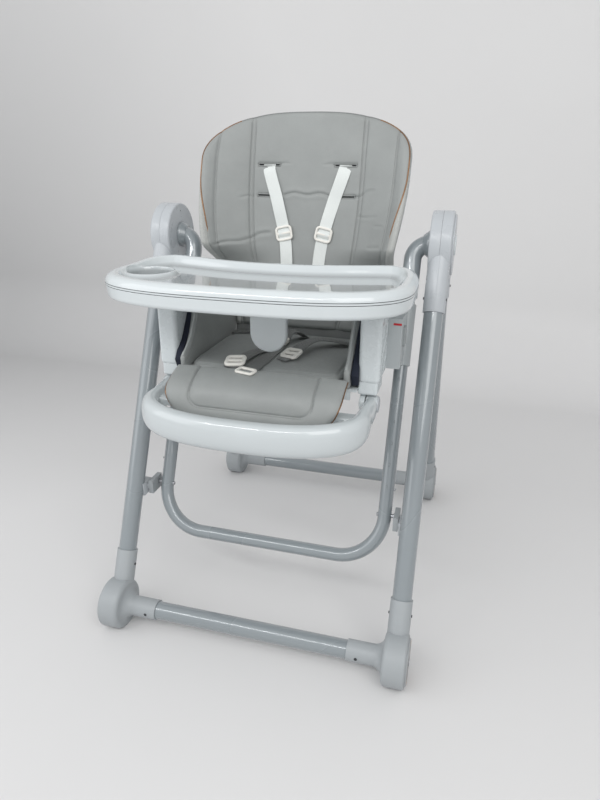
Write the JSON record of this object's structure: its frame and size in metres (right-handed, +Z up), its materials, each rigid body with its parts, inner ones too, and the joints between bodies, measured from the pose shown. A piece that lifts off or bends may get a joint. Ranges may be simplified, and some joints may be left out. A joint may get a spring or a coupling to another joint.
{
  "type": "baby high chair",
  "caption": "Folding baby high chair with a reclining padded seat hung in a swinging tube frame, adjustable in height, with a sliding tray and a tilting leg rest.",
  "frame": {"origin": "on the floor under the middle of the chair's outline", "axes": "+Z up, the seat faces -Y, +X to the right when looking along +Y at the chair's front"},
  "size_m": [0.655, 0.829, 1.0377],
  "materials": {
    "frame_tube": "glossy grey powder coat",
    "hub_plastic": "satin light grey",
    "foot_plastic": "matt grey",
    "copper_rim": "copper-coloured",
    "shell_plastic": "glossy pale grey",
    "button_plastic": "matt grey",
    "steel": "zinc-plated",
    "bush_plastic": "natural nylon",
    "marker_red": "red",
    "seat_leather": "soft coated fabric with copper piping",
    "webbing": "woven satin webbing"
  },
  "bodies": {
    "front_frame": {"front_leg_left": "frame_tube", "front_leg_right": "frame_tube", "front_crossbar": "frame_tube", "front_foot_left": "foot_plastic", "front_foot_right": "foot_plastic", "front_hub_left": "hub_plastic", "front_hub_right": "hub_plastic", "hub_covers": "hub_plastic", "button_springs": "steel", "pivot_pins": "steel", "lock_bases": "hub_plastic", "front_screws": "steel", "front_axles": "steel"},
    "rear_frame": {"rear_leg_left": "frame_tube", "rear_leg_right": "frame_tube", "rear_crossbar": "frame_tube", "rear_foot_left": "foot_plastic", "rear_foot_right": "foot_plastic", "rear_hub_left": "hub_plastic", "rear_hub_right": "hub_plastic", "rear_screws": "steel", "rear_axles": "steel"},
    "wheel_front_left": {"wheel_front_left": "copper_rim"},
    "wheel_front_right": {"wheel_front_right": "copper_rim"},
    "wheel_rear_left": {"wheel_rear_left": "copper_rim"},
    "wheel_rear_right": {"wheel_rear_right": "copper_rim"},
    "swing": {"swing_arm_left": "frame_tube", "swing_arm_right": "frame_tube", "swing_tube": "frame_tube", "pivot_bushes": "bush_plastic", "swing_studs": "steel"},
    "lock_catch_left": {"lock_catch_left": "foot_plastic"},
    "lock_catch_right": {"lock_catch_right": "foot_plastic"},
    "fold_button_left": {"fold_button_left": "button_plastic"},
    "fold_button_right": {"fold_button_right": "button_plastic"},
    "seat": {"slider_left": "shell_plastic", "slider_right": "shell_plastic", "lock_marks": "marker_red", "side_panel_left": "shell_plastic", "side_panel_right": "shell_plastic", "seat_base": "shell_plastic", "recline_rod": "steel", "seat_pad": "seat_leather", "seat_bolsters": "seat_leather", "lap_harness": "webbing"},
    "height_button_left": {"height_button_left": "button_plastic"},
    "height_button_right": {"height_button_right": "button_plastic"},
    "backrest": {"back_shell": "shell_plastic", "back_pad": "seat_leather", "shoulder_straps": "webbing"},
    "recline_handle": {"recline_handle": "button_plastic"},
    "leg_rest": {"footrest_bar": "shell_plastic", "calf_plate": "shell_plastic", "calf_pad": "seat_leather", "pivot_caps": "hub_plastic"},
    "tray": {"tray_base": "shell_plastic", "crotch_guard": "hub_plastic"},
    "tray_button_left": {"tray_button_left": "button_plastic"},
    "tray_button_right": {"tray_button_right": "button_plastic"},
    "top_tray": {"top_tray": "shell_plastic"}
  },
  "joints": [
    {"name": "rear_fold", "type": "hinge", "parent": "front_frame", "child": "rear_frame", "pos_m": [0, 0.01084, 0.783], "axis": [-1, 0, 0], "range_deg": [0, 42]},
    {"name": "wheel_front_left_spin", "type": "hinge", "parent": "front_frame", "child": "wheel_front_left", "pos_m": [-0.299, -0.3625, 0.047], "axis": [1, 0, 0], "continuous": true},
    {"name": "wheel_front_right_spin", "type": "hinge", "parent": "front_frame", "child": "wheel_front_right", "pos_m": [0.299, -0.3625, 0.047], "axis": [1, 0, 0], "continuous": true},
    {"name": "wheel_rear_left_spin", "type": "hinge", "parent": "rear_frame", "child": "wheel_rear_left", "pos_m": [-0.299, 0.3625, 0.047], "axis": [1, 0, 0], "continuous": true},
    {"name": "wheel_rear_right_spin", "type": "hinge", "parent": "rear_frame", "child": "wheel_rear_right", "pos_m": [0.299, 0.3625, 0.047], "axis": [1, 0, 0], "continuous": true},
    {"name": "swing_pivot", "type": "hinge", "parent": "front_frame", "child": "swing", "pos_m": [0, 0.01084, 0.783], "axis": [1, 0, 0], "range_deg": [-12, 12]},
    {"name": "lock_catch_left_slide", "type": "slide", "parent": "front_frame", "child": "lock_catch_left", "axis": [1, 0, 0], "range_m": [0, 0.006]},
    {"name": "lock_catch_right_slide", "type": "slide", "parent": "front_frame", "child": "lock_catch_right", "axis": [-1, 0, 0], "range_m": [0, 0.006]},
    {"name": "fold_button_left_press", "type": "slide", "parent": "front_frame", "child": "fold_button_left", "axis": [1, 0, 0], "range_m": [0, 0.004], "stiffness_N_per_m": 600, "springref_m": -0.002},
    {"name": "fold_button_right_press", "type": "slide", "parent": "front_frame", "child": "fold_button_right", "axis": [-1, 0, 0], "range_m": [0, 0.004], "stiffness_N_per_m": 600, "springref_m": -0.002},
    {"name": "seat_height", "type": "slide", "parent": "swing", "child": "seat", "axis": [0, -0.3891, -0.9212], "range_m": [0, 0.18]},
    {"name": "height_button_left_press", "type": "slide", "parent": "seat", "child": "height_button_left", "axis": [1, 0, 0], "range_m": [0, 0.004], "stiffness_N_per_m": 600, "springref_m": -0.002},
    {"name": "height_button_right_press", "type": "slide", "parent": "seat", "child": "height_button_right", "axis": [-1, 0, 0], "range_m": [0, 0.004], "stiffness_N_per_m": 600, "springref_m": -0.002},
    {"name": "recline", "type": "hinge", "parent": "seat", "child": "backrest", "pos_m": [0, 0.04084, 0.556], "axis": [-1, 0, 0], "range_deg": [0, 35]},
    {"name": "recline_handle_squeeze", "type": "slide", "parent": "backrest", "child": "recline_handle", "axis": [0, 0.1513, 0.9885], "range_m": [0, 0.012], "stiffness_N_per_m": 600, "springref_m": -0.002},
    {"name": "leg_rest_tilt", "type": "hinge", "parent": "seat", "child": "leg_rest", "pos_m": [0, -0.22116, 0.514], "axis": [1, 0, 0], "range_deg": [0, 65]},
    {"name": "tray_slide", "type": "slide", "parent": "seat", "child": "tray", "axis": [0, -1, 0], "range_m": [0, 0.06]},
    {"name": "tray_button_left_press", "type": "slide", "parent": "tray", "child": "tray_button_left", "axis": [1, 0, 0], "range_m": [0, 0.003], "stiffness_N_per_m": 600, "springref_m": -0.002},
    {"name": "tray_button_right_press", "type": "slide", "parent": "tray", "child": "tray_button_right", "axis": [-1, 0, 0], "range_m": [0, 0.003], "stiffness_N_per_m": 600, "springref_m": -0.002},
    {"name": "top_tray_lift", "type": "slide", "parent": "tray", "child": "top_tray", "axis": [0, 0, 1], "range_m": [0, 0.08]}
  ]
}
